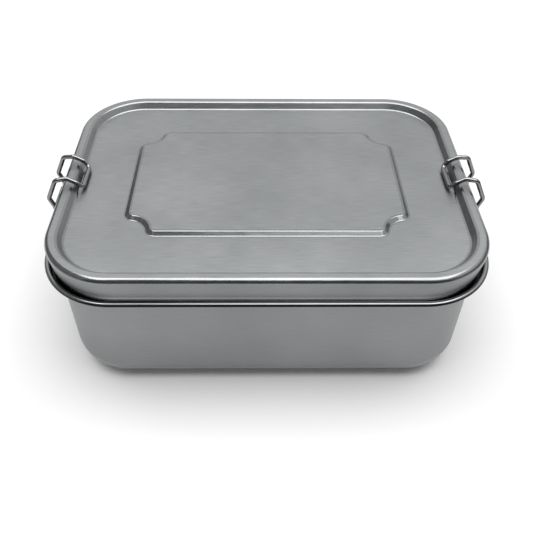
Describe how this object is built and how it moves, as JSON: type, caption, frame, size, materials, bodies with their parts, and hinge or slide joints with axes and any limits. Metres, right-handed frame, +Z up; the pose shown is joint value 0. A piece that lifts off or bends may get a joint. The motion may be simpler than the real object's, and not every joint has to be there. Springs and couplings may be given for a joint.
{
  "type": "lunch box",
  "caption": "Oblong steel lunch box: a drawn tub with a gutter rim, a stamped lid with a raised plaque, and a hinged wire clip at each end that holds the lid shut.",
  "frame": {"origin": "middle of the base, on the surface that the box stands on", "axes": "+X along the long side, +Y from the front to the back, +Z up"},
  "size_m": [0.1902, 0.135, 0.0702],
  "materials": {
    "tub_steel": "fine satin brushing",
    "lid_steel": "fine satin brushing along the length",
    "wire_steel": "polished round wire"
  },
  "bodies": {
    "tub": {"tub": "tub_steel", "left_hinge_plate": "tub_steel", "right_hinge_plate": "tub_steel"},
    "lid": {"lid": "lid_steel"},
    "left_clip": {"left_clip": "wire_steel"},
    "right_clip": {"right_clip": "wire_steel"}
  },
  "joints": [
    {"name": "left_clip_swing", "type": "hinge", "parent": "tub", "child": "left_clip", "pos_m": [-0.0926, 0, 0.0526], "axis": [0, -1, 0], "range_deg": [0, 200]},
    {"name": "right_clip_swing", "type": "hinge", "parent": "tub", "child": "right_clip", "pos_m": [0.0926, 0, 0.0526], "axis": [0, 1, 0], "range_deg": [0, 200]},
    {"name": "lid_lift", "type": "slide", "parent": "tub", "child": "lid", "axis": [0, 0, 1], "range_m": [0, 0.0055]}
  ],
  "couplings": [
    {"joint": "left_clip_swing", "follows": "lid_lift", "rad_per_m": 634.6},
    {"joint": "right_clip_swing", "follows": "lid_lift", "rad_per_m": 634.6}
  ]
}
